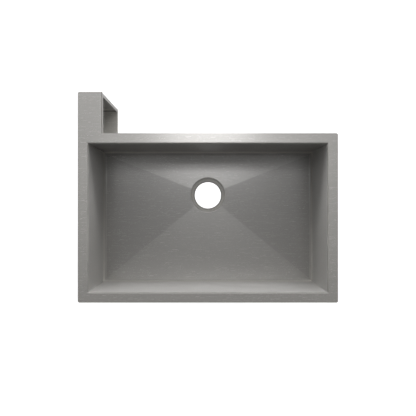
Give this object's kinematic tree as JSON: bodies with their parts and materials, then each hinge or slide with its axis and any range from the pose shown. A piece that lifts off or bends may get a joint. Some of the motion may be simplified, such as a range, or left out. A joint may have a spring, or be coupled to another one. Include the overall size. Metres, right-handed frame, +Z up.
{
  "type": "undermount kitchen sink",
  "caption": "Undermount stainless steel sink: one deep bowl, creased floor, offset drain, and a rear left flange extension over an open-sided pocket.",
  "frame": {"origin": "centre of the drain hole, half way up its turned-down wall", "axes": "+X to the right along the bowl, +Y to the rear, +Z up out of the bowl"},
  "size_m": [0.762, 0.617, 0.2935],
  "materials": {
    "brushed_sheet": "fine brushing from left to right",
    "weld_bead": "as welded, on the outside only",
    "sound_pad": "matte, fine pebbled",
    "stud": "bright thread",
    "hardware": "bright zinc plating",
    "clip": "zinc plated strap"
  },
  "bodies": {
    "sink": {"floor_pan": "brushed_sheet", "front_wall": "brushed_sheet", "rear_wall": "brushed_sheet", "left_wall": "brushed_sheet", "right_wall": "brushed_sheet", "flange_extension": "brushed_sheet", "pocket_wrap": "brushed_sheet", "pocket_floor": "brushed_sheet", "corner_welds": "weld_bead", "floor_pad_left": "sound_pad", "floor_pad_right": "sound_pad", "front_pad": "sound_pad", "rear_pad": "sound_pad", "left_pad": "sound_pad", "right_pad": "sound_pad", "mounting_studs": "stud", "clip_washers": "hardware", "lock_nuts": "hardware"},
    "clip_front_1_swing": {"clip_front_1": "clip"},
    "clip_front_2_swing": {"clip_front_2": "clip"},
    "clip_front_3_swing": {"clip_front_3": "clip"},
    "clip_rear_1_swing": {"clip_rear_1": "clip"},
    "clip_rear_2_swing": {"clip_rear_2": "clip"},
    "clip_rear_3_swing": {"clip_rear_3": "clip"},
    "clip_left_swing": {"clip_left": "clip"},
    "clip_right_swing": {"clip_right": "clip"}
  },
  "joints": [
    {"name": "clip_front_1_pivot", "type": "hinge", "parent": "sink", "child": "clip_front_1_swing", "pos_m": [-0.25, -0.306, 0.25865], "axis": [0, 0, 1], "range_deg": [0, 180]},
    {"name": "clip_front_2_pivot", "type": "hinge", "parent": "sink", "child": "clip_front_2_swing", "pos_m": [0, -0.306, 0.25865], "axis": [0, 0, 1], "range_deg": [0, 180]},
    {"name": "clip_front_3_pivot", "type": "hinge", "parent": "sink", "child": "clip_front_3_swing", "pos_m": [0.25, -0.306, 0.25865], "axis": [0, 0, 1], "range_deg": [0, 180]},
    {"name": "clip_rear_1_pivot", "type": "hinge", "parent": "sink", "child": "clip_rear_1_swing", "pos_m": [-0.258, 0.162, 0.25865], "axis": [0, 0, 1], "range_deg": [0, 180]},
    {"name": "clip_rear_2_pivot", "type": "hinge", "parent": "sink", "child": "clip_rear_2_swing", "pos_m": [-0.004, 0.162, 0.25865], "axis": [0, 0, 1], "range_deg": [0, 180]},
    {"name": "clip_rear_3_pivot", "type": "hinge", "parent": "sink", "child": "clip_rear_3_swing", "pos_m": [0.25, 0.162, 0.25865], "axis": [0, 0, 1], "range_deg": [0, 180]},
    {"name": "clip_left_pivot", "type": "hinge", "parent": "sink", "child": "clip_left_swing", "pos_m": [-0.367, -0.089, 0.25865], "axis": [0, 0, 1], "range_deg": [0, 180]},
    {"name": "clip_right_pivot", "type": "hinge", "parent": "sink", "child": "clip_right_swing", "pos_m": [0.367, -0.055, 0.25865], "axis": [0, 0, 1], "range_deg": [0, 180]}
  ]
}
